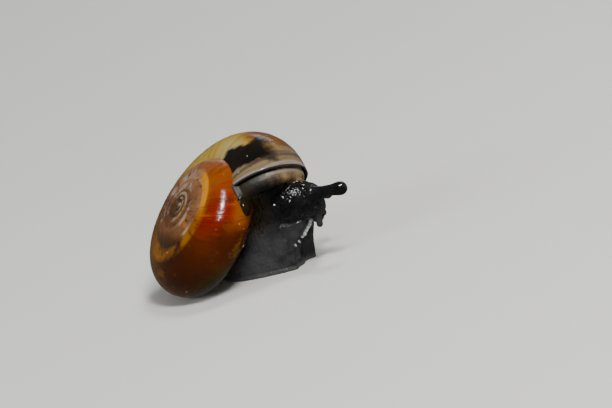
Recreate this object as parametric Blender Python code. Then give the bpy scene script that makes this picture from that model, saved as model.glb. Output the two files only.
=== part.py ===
# Garlic snail, life size, creeping with its head and the front of its foot raised.
#
# Sizes are in millimetres while the shapes are made, because voxel remeshing has a
# smallest step of 0.1 units. finish() scales every finished mesh to metres.
# X is the way the snail heads, Y its left side and Z up. The floor is Z = 0.
# The flesh is modelled whole and then parted with thin cuts.

from math import ceil, copysign, cos, pi, radians, sin

import bmesh
import bpy
from mathutils import Matrix, Vector

METRES_PER_MM = 0.001
UP = Vector((0.0, 0.0, 1.0))
GAP = 0.15  # between neighbouring nodes, face to face

# Shell: a right-handed spiral of about four and a quarter whorls, 7 mm across
WHORLS = 4.2
GROWTH_PER_WHORL = 1.67
SUTURE_RADIUS = 2.029
SUTURE_DROP = 0.744
SUTURE_DROP_POWER = 2.74
TUBE_CENTRE_RADIUS = 2.298
TUBE_CENTRE_DROP = 1.517
TUBE_HALF_WIDTH = 1.638
TUBE_HALF_HEIGHT = 1.524
APEX_CAP_RADIUS = 0.16
APEX_CAP_DROP = 0.12
LIP_SLANT_OUTWARD = 0.07
LIP_SLANT_DOWNWARD = 0.567
LIP_SLANT_LIMIT = radians(62)
LIP_SLANT_RUN = radians(200)
LIP_THICKNESS = 0.12
RECESS_TURN = radians(28)
RECESS_STEPS = (0.0, 0.4, 1.0)
RINGS_PER_WHORL = 36
RING_SIDES = 22

# Place of the shell on the animal: its tip, the way its axis points and the way its
# first insertion point lies from the axis
SHELL_APEX = Vector((4.017, -0.475, 3.237))
SHELL_AXIS = Vector((-0.46174, -0.47083, 0.75174))
SHELL_INSERTION_WAY = Vector((0.88522, -0.29843, 0.35682))

# Mantle collar: the pad of flesh that fills the mouth of the shell
COLLAR_DEPTH_TURN = radians(5)
COLLAR_BULGE_TURN = radians(9)
COLLAR_EASE = 0.04

# Each share of the way into the mouth or out of it, and how far in from the wall
COLLAR_STEPS = ((-1.0, 0.10), (-0.5, 0.0), (0.0, 0.0), (0.45, 0.05), (0.80, 0.14), (1.0, 0.28))

# Breathing pore in the collar's outer face
PORE_AROUND = radians(72)
PORE_INSET = 0.62
PORE_RADII = Vector((0.20, 0.15, 0.15))

# Foot: middle line X, Y, half width of the sole and height
FOOT_STATIONS = (
    (7.45, 0.28, 0.66, 1.30),
    (6.90, 0.28, 0.72, 1.40),
    (6.10, 0.29, 0.73, 1.30),
    (5.30, 0.40, 0.68, 0.95),
    (4.40, 0.92, 0.54, 0.50),
    (3.50, 1.48, 0.42, 0.40),
    (2.60, 1.92, 0.32, 0.36),
    (1.90, 2.16, 0.20, 0.26),
    (1.40, 2.30, 0.08, 0.12),
)
FOOT_RINGS = 40
FOOT_FULLNESS = 0.8
FOOT_WAY_STEP = 0.01
SOLE_BULGE = 0.12

# Raised front of the foot: level sections, each Z, front X, rear X, half width and how
# far its left front corner reaches forward; the right one draws back by NEAR_SKEW
FOOT_FRONT_STATIONS = (
    (-0.06, 7.56, 6.20, 0.70, 0.48),
    (0.40, 7.66, 6.20, 0.70, 0.48),
    (0.85, 7.90, 6.20, 0.69, 0.32),
    (1.20, 8.14, 6.25, 0.67, 0.16),
    (1.60, 8.36, 6.30, 0.64, 0.12),
)
FOOT_FRONT_Y = 0.28
FOOT_FRONT_SQUARENESS = 0.72
NEAR_SKEW = 0.12
FOOT_FRONT_RINGS = 12
ARCH_CENTRE = Vector((8.14, 0.33, 0.44))
ARCH_RADII = Vector((0.86, 0.47, 0.74))

# Neck: from the foot up into the shell's mouth, each centre and the two half axes
NECK_STATIONS = (
    (Vector((6.55, 0.28, 0.60)), Vector((1.15, 0.0, 0.0)), Vector((0.0, 0.66, 0.0))),
    (Vector((6.70, 0.28, 1.30)), Vector((1.12, 0.0, 0.10)), Vector((0.0, 0.68, 0.0))),
    (Vector((6.92, 0.32, 2.00)), Vector((1.15, 0.10, 0.20)), Vector((-0.05, 0.74, -0.10))),
    (Vector((6.98, 0.42, 2.55)), Vector((1.18, 0.20, 0.25)), Vector((-0.10, 0.78, -0.42))),
    (Vector((6.95, 0.55, 2.95)), Vector((1.05, 0.20, 0.20)), Vector((-0.10, 0.72, -0.42))),
)
NECK_RINGS = 16

# Head: forward from the neck, each centre, half width and half height
HEAD_STATIONS = (
    (Vector((6.90, 0.28, 2.10)), 0.62, 0.70),
    (Vector((7.45, 0.28, 2.24)), 0.70, 0.78),
    (Vector((7.95, 0.28, 2.26)), 0.71, 0.76),
    (Vector((8.40, 0.28, 2.18)), 0.64, 0.66),
    (Vector((8.70, 0.28, 2.05)), 0.50, 0.50),
    (Vector((8.88, 0.28, 1.95)), 0.26, 0.30),
)
HEAD_RINGS = 20
LOBE_CENTRE = Vector((8.38, 0.28, 1.76))
LOBE_SPREAD = 0.28
LOBE_RADII = Vector((0.24, 0.22, 0.19))
LIP_CENTRE = Vector((8.54, 0.28, 1.50))
LIP_RADII = Vector((0.22, 0.27, 0.21))
MOUTH_SLIT = Vector((0.30, 0.34, 0.07))

# Feelers: root inside the head, tip, radius at the root, along the shaft and of the tip
EYE_STALK_RIGHT = (Vector((8.45, 0.06, 2.40)), Vector((10.17, -0.29, 2.44)))
EYE_STALK_LEFT = (Vector((8.42, 0.50, 2.36)), Vector((8.60, 1.75, 1.84)))
STALK_ROOT_RADIUS = 0.34
STALK_RADIUS = 0.235
EYE_BULB_RADIUS = 0.265
STALK_CUT = 0.56
EYE_CUT_BEFORE_TIP = 0.34
LOWER_TENTACLE_RIGHT = (Vector((8.76, -0.02, 1.92)), Vector((8.66, -0.10, 1.20)))
LOWER_TENTACLE_LEFT = (Vector((8.64, 0.58, 1.92)), Vector((8.66, 0.80, 1.30)))
TENTACLE_ROOT_RADIUS = 0.24
TENTACLE_RADIUS = 0.20
TENTACLE_TIP_RADIUS = 0.17
TENTACLE_CUT = 0.34
STALK_CUT_RADIUS = 0.44
TENTACLE_CUT_RADIUS = 0.40

# Shares of a feeler's length: where its root has narrowed and where its tip swells
ROOT_FLARE_END = 0.5
TIP_SWELL_START = 0.55
TIP_SWELL_END = 0.85
FEELER_POINT_RADIUS = 0.02
FEELER_RINGS = 24
FEELER_SIDES = 16

# Points round the body's sections, and on balls and discs
BODY_SIDES = 24
BALL_SEGMENTS = 24
BALL_RINGS = 14
DISC_SIDES = 20

# Fine flesh: voxel size, smoothing and the share of triangles kept
VOXEL = 0.06
SMOOTHING_FACTOR = 0.5
SMOOTHING_PASSES = 5
TRIANGLES_KEPT = 0.16

# Thin plates that part the body: centre, the way each faces and half its width
NECK_TO_HEAD_X = 7.42
FOOT_TOP_Z = 1.20
BODY_CUTS = (
    (Vector((NECK_TO_HEAD_X, 0.28, FOOT_TOP_Z + 1.40)), Vector((1.0, 0.0, 0.0)), 1.40),
    (Vector((7.20, 0.28, FOOT_TOP_Z)), UP, 2.20),
    (Vector((6.60, 0.28, 0.40)), Vector((1.0, 0.0, 0.0)), 0.80),
    (Vector((4.20, 1.05, 0.20)), Vector((0.86, -0.51, 0.0)), 0.80),
)

# Where the middle of each body of flesh lies once it is parted
FLESH_NODES = {
    "head": Vector((8.10, 0.28, 2.20)),
    "neck": Vector((6.75, 0.40, 2.00)),
    "foot_front": Vector((7.20, 0.28, 0.60)),
    "foot_middle": Vector((5.50, 0.50, 0.55)),
    "tail": Vector((2.80, 1.75, 0.20)),
    "eye_stalk_right": EYE_STALK_RIGHT[0].lerp(EYE_STALK_RIGHT[1], 0.50),
    "eye_right": EYE_STALK_RIGHT[1],
    "eye_stalk_left": EYE_STALK_LEFT[0].lerp(EYE_STALK_LEFT[1], 0.50),
    "eye_left": EYE_STALK_LEFT[1],
    "lower_tentacle_right": LOWER_TENTACLE_RIGHT[1],
    "lower_tentacle_left": LOWER_TENTACLE_LEFT[1],
}

# Box under the floor that cuts the flats the snail rests on
FLOOR_BOX_HALF_WIDTH = 10.0
FLOOR_BOX_HALF_DEPTH = 1.0
FLOOR_BOX_CENTRE = Vector((6.0, 0.5, -FLOOR_BOX_HALF_DEPTH))

# Colour and roughness of each node
SHELL_LOOK = ((0.42, 0.16, 0.03), 0.18)
COLLAR_LOOK = ((0.20, 0.13, 0.06), 0.30)
SKIN_LOOK = ((0.035, 0.038, 0.045), 0.35)
SOLE_LOOK = ((0.07, 0.075, 0.085), 0.40)
EYE_LOOK = ((0.01, 0.01, 0.012), 0.15)
LOOKS = {
    "shell": SHELL_LOOK,
    "mantle_collar": COLLAR_LOOK,
    "foot_front": SOLE_LOOK,
    "foot_middle": SOLE_LOOK,
    "tail": SOLE_LOOK,
    "eye_right": EYE_LOOK,
    "eye_left": EYE_LOOK,
}
SMOOTH_ANGLE = radians(40)


def clear_scene():
    for old_object in list(bpy.data.objects):
        bpy.data.objects.remove(old_object)
    for old_mesh in list(bpy.data.meshes):
        bpy.data.meshes.remove(old_mesh)


def add_object(name, mesh):
    made = bpy.data.objects.new(name, mesh)
    bpy.context.scene.collection.objects.link(made)
    return made


def object_from_rings(name, rings):
    """Skin a closed tube through rings of points, with a fan of triangles at each end."""
    model = bmesh.new()
    rows = [[model.verts.new(point) for point in ring] for ring in rings]
    sides = len(rows[0])
    for near_row, far_row in zip(rows, rows[1:]):
        for side in range(sides):
            after = (side + 1) % sides
            model.faces.new((near_row[side], near_row[after], far_row[after], far_row[side]))
    for row in (rows[0], rows[-1]):
        centre = model.verts.new(sum((vertex.co for vertex in row), Vector()) / sides)
        for side in range(sides):
            model.faces.new((centre, row[side], row[(side + 1) % sides]))
    bmesh.ops.recalc_face_normals(model, faces=model.faces)
    if model.calc_volume(signed=True) < 0.0:
        bmesh.ops.reverse_faces(model, faces=model.faces)
    mesh = bpy.data.meshes.new(name)
    model.to_mesh(mesh)
    model.free()
    return add_object(name, mesh)


def ellipsoid(name, centre, radii):
    bpy.ops.mesh.primitive_uv_sphere_add(
        segments=BALL_SEGMENTS, ring_count=BALL_RINGS, radius=1.0
    )
    made = bpy.context.object
    made.name = name
    made.data.transform(Matrix.Translation(centre) @ Matrix.Diagonal((*radii, 1.0)))
    return made


def freeze_modifiers(made):
    """Replace an object's mesh by what its modifiers make of it."""
    evaluated = made.evaluated_get(bpy.context.evaluated_depsgraph_get())
    mesh = bpy.data.meshes.new_from_object(evaluated)
    made.modifiers.clear()
    made.data = mesh


def boolean(made, other, operation, within_itself=False):
    """Apply a Boolean; EXACT is kept for a mesh that crosses itself, which it can mend."""
    change = made.modifiers.new(operation.title(), "BOOLEAN")
    change.operation = operation
    change.solver = "EXACT" if within_itself else "MANIFOLD"
    change.use_self = within_itself
    change.object = other
    freeze_modifiers(made)
    bpy.data.objects.remove(other)


def join_pieces(name, pieces):
    """Put the pieces into one mesh; remeshing fuses them afterwards."""
    model = bmesh.new()
    for piece in pieces:
        model.from_mesh(piece.data)
        bpy.data.objects.remove(piece)
    mesh = bpy.data.meshes.new(name)
    model.to_mesh(mesh)
    model.free()
    return add_object(name, mesh)


def angles_round(sides):
    """Evenly spaced angles of a full turn."""
    return [2 * pi * side / sides for side in range(sides)]


def smooth_step(share):
    share = min(max(share, 0.0), 1.0)
    return share * share * (3.0 - 2.0 * share)


def blend_stations(stations, share):
    """Value at a share of the way through a list of stations, on a smooth curve."""
    place = share * (len(stations) - 1)
    index = min(int(place), len(stations) - 2)
    local = place - index
    before = stations[max(index - 1, 0)]
    start = stations[index]
    end = stations[index + 1]
    after = stations[min(index + 2, len(stations) - 1)]
    blended = []
    for v0, v1, v2, v3 in zip(before, start, end, after):
        slope_in = (v2 - v0) * 0.5
        slope_out = (v3 - v1) * 0.5
        rise = v2 - v1
        blended.append(
            v1 + slope_in * local
            + (3.0 * rise - 2.0 * slope_in - slope_out) * local ** 2
            + (slope_in + slope_out - 2.0 * rise) * local ** 3
        )
    return blended


def lip_slant(around):
    """How far the growth line at this angle of the tube lags behind its top."""
    radius = TUBE_CENTRE_RADIUS + TUBE_HALF_WIDTH * cos(around)
    drop = -TUBE_CENTRE_DROP + TUBE_HALF_HEIGHT * sin(around)
    lag = (LIP_SLANT_OUTWARD * (radius - SUTURE_RADIUS) - LIP_SLANT_DOWNWARD * drop) / radius
    return max(-lag, -LIP_SLANT_LIMIT)


def shell_placement():
    axis = SHELL_AXIS.normalized()
    side = axis.cross(SHELL_INSERTION_WAY).normalized()
    forward = side.cross(axis)
    turn = Matrix((forward, side, axis)).transposed().to_4x4()
    return Matrix.Translation(SHELL_APEX) @ turn


def shell_point(turn, slant, inset, around):
    """A point on the shell's tube, at a turn of the spiral and an angle of its section."""
    angle = turn + slant * lip_slant(around)
    scale = GROWTH_PER_WHORL ** (angle / (2 * pi))
    radius = scale * (TUBE_CENTRE_RADIUS + (TUBE_HALF_WIDTH - inset) * cos(around))
    height = (
        -SUTURE_DROP * scale ** SUTURE_DROP_POWER
        + scale * (-TUBE_CENTRE_DROP + (TUBE_HALF_HEIGHT - inset) * sin(around))
    )
    return Vector((radius * cos(angle), -radius * sin(angle), height))


def shell_ring(turn, slant, inset):
    """One growth ring of the shell's tube, inset from its outer surface."""
    return [shell_point(turn, slant, inset, around) for around in angles_round(RING_SIDES)]


def shell_solid(name, grow=0.0):
    """The shell with a shallow mouth, or a grown copy that keeps others clear of it."""
    rings = []
    for step in range(ceil(WHORLS * RINGS_PER_WHORL), -1, -1):
        turn = -step * 2 * pi / RINGS_PER_WHORL
        slant = smooth_step(1.0 + turn / LIP_SLANT_RUN)
        rings.append(shell_ring(turn, slant, -grow))
    recess_turn = RECESS_TURN - grow / TUBE_CENTRE_RADIUS
    for share in RECESS_STEPS:
        rings.append(shell_ring(-share * recess_turn, 1.0, LIP_THICKNESS + grow))
    shell = object_from_rings(name, rings)
    cap = ellipsoid("apex", Vector((0.0, 0.0, -APEX_CAP_DROP)), (APEX_CAP_RADIUS + grow,) * 3)
    boolean(shell, cap, "UNION", within_itself=True)
    shell.data.transform(shell_placement())
    return shell


def collar_solid(name, grow=0.0):
    """Pad of mantle that fills the shell's mouth and bulges a little out of it."""
    inset = LIP_THICKNESS + GAP + COLLAR_EASE - grow
    rings = []
    for share, further_in in COLLAR_STEPS:
        reach = COLLAR_DEPTH_TURN if share < 0 else COLLAR_BULGE_TURN
        reach += grow / TUBE_CENTRE_RADIUS
        rings.append(shell_ring(share * reach, 1.0, inset + further_in))
    collar = object_from_rings(name, rings)
    collar.data.transform(shell_placement())
    if not grow:
        boolean(collar, shell_solid("shell_clearance", GAP), "DIFFERENCE")
        pore_place = shell_point(COLLAR_BULGE_TURN, 1.0, PORE_INSET, PORE_AROUND)
        pore = ellipsoid("breathing_pore", shell_placement() @ pore_place, PORE_RADII)
        boolean(collar, pore, "DIFFERENCE")
    return collar


def lips_solid():
    """Two soft lips with the line of the mouth between them."""
    lips = ellipsoid("lips", LIP_CENTRE, LIP_RADII)
    slit_centre = LIP_CENTRE + Vector((LIP_RADII.x, 0.0, 0.0))
    boolean(lips, ellipsoid("mouth_line", slit_centre, MOUTH_SLIT), "DIFFERENCE")
    return lips


def foot_piece():
    rings = []
    for step in range(FOOT_RINGS + 1):
        share = step / FOOT_RINGS
        x, y, half_width, height = blend_stations(FOOT_STATIONS, share)
        x_next, y_next, _, _ = blend_stations(FOOT_STATIONS, min(share + FOOT_WAY_STEP, 1.0))
        x_last, y_last, _, _ = blend_stations(FOOT_STATIONS, max(share - FOOT_WAY_STEP, 0.0))
        along = Vector((x_next - x_last, y_next - y_last, 0.0)).normalized()
        across = Vector((-along.y, along.x, 0.0))
        ring = []
        for around in angles_round(BODY_SIDES):
            out = half_width * cos(around)
            if sin(around) > 0:
                up = height * sin(around) ** FOOT_FULLNESS
            else:
                up = SOLE_BULGE * sin(around)
            ring.append(Vector((x, y, 0.0)) + across * out + Vector((0.0, 0.0, up)))
        rings.append(ring)
    return object_from_rings("foot_piece", rings)


def foot_front_piece():
    """Level rounded-oblong sections, leaning forward as they rise to the mouth."""
    rings = []
    for step in range(FOOT_FRONT_RINGS + 1):
        height, front, rear, half_width, far_skew = blend_stations(
            FOOT_FRONT_STATIONS, step / FOOT_FRONT_RINGS
        )
        middle = 0.5 * (front + rear)
        half_length = 0.5 * (front - rear)
        ring = []
        for around in angles_round(BODY_SIDES):
            forward = copysign(abs(cos(around)) ** FOOT_FRONT_SQUARENESS, cos(around))
            left = copysign(abs(sin(around)) ** FOOT_FRONT_SQUARENESS, sin(around))
            skew = (far_skew if left > 0.0 else NEAR_SKEW) * left * max(forward, 0.0)
            ring.append(Vector((
                middle + half_length * forward + skew,
                FOOT_FRONT_Y + half_width * left,
                height,
            )))
        rings.append(ring)
    return object_from_rings("foot_front_piece", rings)


def neck_piece():
    flat_stations = [(*centre, *first, *second) for centre, first, second in NECK_STATIONS]
    rings = []
    for step in range(NECK_RINGS + 1):
        values = blend_stations(flat_stations, step / NECK_RINGS)
        centre, first, second = Vector(values[0:3]), Vector(values[3:6]), Vector(values[6:9])
        rings.append([
            centre + first * cos(around) + second * sin(around)
            for around in angles_round(BODY_SIDES)
        ])
    return object_from_rings("neck_piece", rings)


def head_piece():
    flat_stations = [(*centre, width, height) for centre, width, height in HEAD_STATIONS]
    rings = []
    for step in range(HEAD_RINGS + 1):
        x, y, z, half_width, half_height = blend_stations(flat_stations, step / HEAD_RINGS)
        rings.append([
            Vector((x, y + half_width * cos(around), z + half_height * sin(around)))
            for around in angles_round(BODY_SIDES)
        ])
    return object_from_rings("head_piece", rings)


def feeler_piece(name, ends, radii):
    """A round feeler: wide root, even shaft and a rounded tip of its own radius."""
    root, tip = ends
    root_radius, shaft_radius, tip_radius = radii
    along = (tip - root).normalized()
    length = (tip - root).length
    across = along.orthogonal().normalized()
    other = along.cross(across)
    rings = []
    for step in range(FEELER_RINGS + 1):
        share = step / FEELER_RINGS
        flare = 1.0 - smooth_step(share / ROOT_FLARE_END)
        swell = smooth_step((share - TIP_SWELL_START) / (TIP_SWELL_END - TIP_SWELL_START))
        radius = shaft_radius + (root_radius - shaft_radius) * flare
        radius += (tip_radius - shaft_radius) * swell
        from_tip = (1.0 - share) * length
        if from_tip < tip_radius:
            rounded = (tip_radius ** 2 - (tip_radius - from_tip) ** 2) ** 0.5
            radius = max(rounded, FEELER_POINT_RADIUS)
        centre = root + along * (share * length)
        rings.append([
            centre + (across * cos(around) + other * sin(around)) * radius
            for around in angles_round(FEELER_SIDES)
        ])
    return object_from_rings(name, rings)


def flesh_solid():
    """All of the flesh as one fused and smoothed mesh, the sole just below the floor."""
    stalk_radii = (STALK_ROOT_RADIUS, STALK_RADIUS, EYE_BULB_RADIUS)
    tentacle_radii = (TENTACLE_ROOT_RADIUS, TENTACLE_RADIUS, TENTACLE_TIP_RADIUS)
    pieces = [
        foot_piece(),
        foot_front_piece(),
        neck_piece(),
        head_piece(),
        feeler_piece("stalk_right", EYE_STALK_RIGHT, stalk_radii),
        feeler_piece("stalk_left", EYE_STALK_LEFT, stalk_radii),
        feeler_piece("tentacle_right", LOWER_TENTACLE_RIGHT, tentacle_radii),
        feeler_piece("tentacle_left", LOWER_TENTACLE_LEFT, tentacle_radii),
    ]
    for side in (-1, 1):
        centre = LOBE_CENTRE + Vector((0.0, side * LOBE_SPREAD, 0.0))
        pieces.append(ellipsoid("lobe", centre, LOBE_RADII))
    flesh = join_pieces("flesh", pieces)
    remesh = flesh.modifiers.new("Fuse", "REMESH")
    remesh.mode = "VOXEL"
    remesh.voxel_size = VOXEL
    smooth = flesh.modifiers.new("Smooth", "SMOOTH")
    smooth.factor = SMOOTHING_FACTOR
    smooth.iterations = SMOOTHING_PASSES
    thin = flesh.modifiers.new("Thin", "DECIMATE")
    thin.ratio = TRIANGLES_KEPT
    freeze_modifiers(flesh)
    return flesh


def box_cutter(name, centre, facing, half_width, half_thickness):
    """A square plate that faces along a direction."""
    bpy.ops.mesh.primitive_cube_add(size=2.0)
    cutter = bpy.context.object
    cutter.name = name
    turn = facing.normalized().to_track_quat("Z", "Y").to_matrix().to_4x4()
    size = Matrix.Diagonal((half_width, half_width, half_thickness, 1.0))
    cutter.data.transform(Matrix.Translation(centre) @ turn @ size)
    return cutter


def disc_cutter(name, centre, facing, radius):
    bpy.ops.mesh.primitive_cylinder_add(vertices=DISC_SIDES, radius=radius, depth=GAP)
    cutter = bpy.context.object
    cutter.name = name
    turn = facing.normalized().to_track_quat("Z", "Y").to_matrix().to_4x4()
    cutter.data.transform(Matrix.Translation(centre) @ turn)
    return cutter


def corners_of(meshes):
    """Lowest and highest corner of the box round some meshes."""
    points = [vertex.co for mesh in meshes for vertex in mesh.vertices]
    low = Vector([min(point[axis] for point in points) for axis in range(3)])
    high = Vector([max(point[axis] for point in points) for axis in range(3)])
    return low, high


def middle_of(mesh):
    low, high = corners_of([mesh])
    return (low + high) / 2


def width_of(mesh):
    low, high = corners_of([mesh])
    return (high - low).length


def cut_floor(made):
    """Take away what lies below the floor and leave a flat there."""
    below = box_cutter(
        "below_floor", FLOOR_BOX_CENTRE, UP, FLOOR_BOX_HALF_WIDTH, FLOOR_BOX_HALF_DEPTH
    )
    boolean(made, below, "DIFFERENCE")


def loose_bodies(made):
    """Separate a mesh into its closed bodies, largest first."""
    model = bmesh.new()
    model.from_mesh(made.data)
    waiting = set(model.verts)
    groups = []
    while waiting:
        reached = [waiting.pop()]
        group = set(reached)
        while reached:
            vertex = reached.pop()
            for edge in vertex.link_edges:
                neighbour = edge.other_vert(vertex)
                if neighbour not in group:
                    group.add(neighbour)
                    waiting.discard(neighbour)
                    reached.append(neighbour)
        groups.append(group)
    bodies = []
    for group in groups:
        indices = {vertex: number for number, vertex in enumerate(group)}
        faces = [
            [indices[vertex] for vertex in face.verts]
            for face in model.faces
            if face.verts[0] in group
        ]
        mesh = bpy.data.meshes.new("body")
        mesh.from_pydata([vertex.co.copy() for vertex in indices], [], faces)
        bodies.append(mesh)
    model.free()
    return sorted(bodies, key=width_of, reverse=True)


def keep_largest_body(made):
    made.data = loose_bodies(made)[0]


def feeler_cuts():
    """Where each feeler is cut from the head, and each eye from its stalk."""
    cuts = []
    for root, tip in (EYE_STALK_RIGHT, EYE_STALK_LEFT):
        along = (tip - root).normalized()
        cuts.append((root + along * STALK_CUT, along, STALK_CUT_RADIUS))
        cuts.append((tip - along * EYE_CUT_BEFORE_TIP, along, STALK_CUT_RADIUS))
    for root, tip in (LOWER_TENTACLE_RIGHT, LOWER_TENTACLE_LEFT):
        along = (tip - root).normalized()
        cuts.append((root + along * TENTACLE_CUT, along, TENTACLE_CUT_RADIUS))
    return cuts


def part_flesh(flesh):
    """Clear the flesh of its neighbours, then cut it into its nodes."""
    boolean(flesh, ellipsoid("arch", ARCH_CENTRE, ARCH_RADII), "DIFFERENCE")
    boolean(flesh, shell_solid("shell_clearance", GAP), "DIFFERENCE")
    boolean(flesh, collar_solid("collar_clearance", GAP), "DIFFERENCE")
    lip_pocket = LIP_RADII + Vector((GAP, GAP, GAP))
    boolean(flesh, ellipsoid("lip_clearance", LIP_CENTRE, lip_pocket), "DIFFERENCE")
    cut_floor(flesh)
    for centre, facing, half_width in BODY_CUTS:
        plate = box_cutter("plate", centre, facing, half_width, 0.5 * GAP)
        boolean(flesh, plate, "DIFFERENCE")
    for centre, facing, radius in feeler_cuts():
        boolean(flesh, disc_cutter("disc", centre, facing, radius), "DIFFERENCE")
    bodies = loose_bodies(flesh)
    bpy.data.objects.remove(flesh)
    nodes = []
    for name, place in FLESH_NODES.items():
        mesh = min(bodies, key=lambda body: (middle_of(body) - place).length)
        mesh.name = name
        nodes.append(add_object(name, mesh))
        bodies.remove(mesh)
    return nodes


def finish(nodes):
    """Centre the model over the origin, scale it to metres and give it its materials."""
    low, high = corners_of([made.data for made in nodes])
    origin = Vector(((low.x + high.x) / 2, (low.y + high.y) / 2, 0.0))
    to_metres = Matrix.Scale(METRES_PER_MM, 4) @ Matrix.Translation(-origin)
    for made in nodes:
        made.data.transform(to_metres)
        made.data.shade_smooth()
        made.data.set_sharp_from_angle(angle=SMOOTH_ANGLE)
        colour, roughness = LOOKS.get(made.name, SKIN_LOOK)
        material = bpy.data.materials.new(made.name)
        material.use_nodes = True
        surface = material.node_tree.nodes["Principled BSDF"]
        surface.inputs["Base Color"].default_value = (*colour, 1.0)
        surface.inputs["Roughness"].default_value = roughness
        surface.inputs["Metallic"].default_value = 0.0
        made.data.materials.append(material)


def main():
    clear_scene()
    shell = shell_solid("shell")
    cut_floor(shell)
    keep_largest_body(shell)
    collar = collar_solid("mantle_collar")
    keep_largest_body(collar)
    nodes = [shell, collar, lips_solid(), *part_flesh(flesh_solid())]
    finish(nodes)


if __name__ == "__main__":
    main()
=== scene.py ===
# Garlic snail: the fine shell, one skin over all of its flesh, and its eyes.
# Shapes are made in millimetres, in the frame that the solids were modelled in, and
# are scaled to metres and set on the frame as each piece is finished.

from math import ceil, copysign, cos, exp, pi, radians, sin

import bmesh
import bpy
from bpy.props import FloatProperty, FloatVectorProperty, IntProperty, PointerProperty
from mathutils import Matrix, Vector, noise
from mathutils.kdtree import KDTree


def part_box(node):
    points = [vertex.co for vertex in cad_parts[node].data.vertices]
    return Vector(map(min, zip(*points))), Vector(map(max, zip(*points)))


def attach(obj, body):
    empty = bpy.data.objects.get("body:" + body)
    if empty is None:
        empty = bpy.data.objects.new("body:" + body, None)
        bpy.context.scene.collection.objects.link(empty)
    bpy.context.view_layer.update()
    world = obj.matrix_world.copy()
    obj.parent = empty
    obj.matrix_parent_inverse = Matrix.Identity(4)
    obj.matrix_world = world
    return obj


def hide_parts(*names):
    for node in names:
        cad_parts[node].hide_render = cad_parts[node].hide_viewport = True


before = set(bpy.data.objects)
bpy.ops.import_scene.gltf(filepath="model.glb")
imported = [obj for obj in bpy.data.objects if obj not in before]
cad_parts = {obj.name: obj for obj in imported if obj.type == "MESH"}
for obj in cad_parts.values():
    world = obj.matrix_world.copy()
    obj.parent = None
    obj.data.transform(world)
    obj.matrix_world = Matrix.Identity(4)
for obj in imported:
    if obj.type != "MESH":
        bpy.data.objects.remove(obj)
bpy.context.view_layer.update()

bl_info = {
    "name": "Garlic Snail",
    "version": (1, 0, 0),
    "blender": (4, 5, 0),
    "location": "View3D > Sidebar > Snail",
    "description": "Builds the shell, skin and eyes of a garlic snail on its frame",
    "category": "Object",
}

# Lengths are in millimetres here, and those of the stage and the shaders in metres
METRES_PER_MM = 0.001

# Shell: the same spiral as the solid, with the mouth's rim thinner
GROWTH_PER_WHORL = 1.67
SUTURE_RADIUS = 2.029
SUTURE_DROP = 0.744
SUTURE_DROP_POWER = 2.74
TUBE_CENTRE_RADIUS = 2.298
TUBE_CENTRE_DROP = 1.517
TUBE_HALF_WIDTH = 1.638
TUBE_HALF_HEIGHT = 1.524
LIP_SLANT_OUTWARD = 0.07
LIP_SLANT_DOWNWARD = 0.567
LIP_SLANT_LIMIT = radians(62)
SHELL_AXIS = Vector((-0.46174, -0.47083, 0.75174))
SHELL_INSERTION_WAY = Vector((0.88522, -0.29843, 0.35682))

# The shell's tip in the modelling frame, and from the middle of the shell's own box
SHELL_APEX = Vector((4.017, -0.475, 3.237))
APEX_FROM_SHELL_MIDDLE = Vector((-1.166, -1.075, 0.945))

# Photograph: camera direction in the modelling frame and the middle of the picture
CAMERA_AZIMUTH = radians(25.0)
CAMERA_ELEVATION = radians(14.0)
CAMERA_ROLL = radians(19.5)
PICTURE_MIDDLE = Vector((7.945, 0.962, 1.832))
PICTURE_WIDTH = 21.06
SENSOR_WIDTH = 36.0
NEAREST_SEEN = 0.001

# Fine shell: how far its wall reaches into the mouth and where its lip's slant begins
RECESS_TURN = radians(24)
SLANT_GROWS_OVER = 0.5

# Growth lines: step, offset and share of each noise that makes them
GROWTH_LINE_NOISES = ((0.63, 7.1, 1.0), (0.17, 2.3, 0.6))

# Lip: share of the way into the mouth, and the wall there in lip thicknesses
LIP_STEPS = ((0.0, 0.4), (0.02, 1.0), (0.3, 1.3), (1.0, 1.6))
LIP_GROWTH = 0.001

# The ball that closes the spiral's tip, and the place on the section its colours are from
TIP_DROP = 0.12
TIP_RADIUS = 0.16
TIP_SECTION = 0.25

# Foot: x, y, half width and height of its sections, from the front to the tail's tip
FOOT_STATIONS = (
    (7.45, 0.28, 0.66, 1.30),
    (6.90, 0.28, 0.72, 1.40),
    (6.10, 0.29, 0.73, 1.30),
    (5.30, 0.40, 0.68, 0.95),
    (4.40, 0.92, 0.54, 0.50),
    (3.50, 1.48, 0.42, 0.40),
    (2.60, 1.92, 0.32, 0.36),
    (1.90, 2.16, 0.20, 0.26),
    (1.40, 2.30, 0.08, 0.12),
)
FOOT_RINGS = 80
FOOT_SIDES = 96
FOOT_SLOPE_STEP = 0.01
FOOT_ROUNDING = 0.8
SOLE_DEPTH = 0.12
FRINGE_WIDTH = 0.06
FRINGE_HEIGHT = 0.05

# Raised front of the foot: height, front, rear, half width and skew of its far side
FOOT_FRONT_STATIONS = (
    (-0.06, 7.56, 6.20, 0.70, 0.48),
    (0.40, 7.66, 6.20, 0.70, 0.48),
    (0.85, 7.90, 6.20, 0.69, 0.32),
    (1.20, 8.14, 6.25, 0.67, 0.16),
    (1.60, 8.36, 6.30, 0.64, 0.12),
)
FOOT_FRONT_BOTTOM = -0.06
FOOT_FRONT_HEIGHT = 1.66
FOOT_FRONT_RINGS = 24
FOOT_FRONT_SQUARENESS = 0.72
NEAR_SKEW = 0.12
FOOT_MIDDLE_Y = 0.28
ARCH_CENTRE = Vector((8.14, 0.33, 0.44))
ARCH_RADII = Vector((0.86, 0.47, 0.74))

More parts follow.
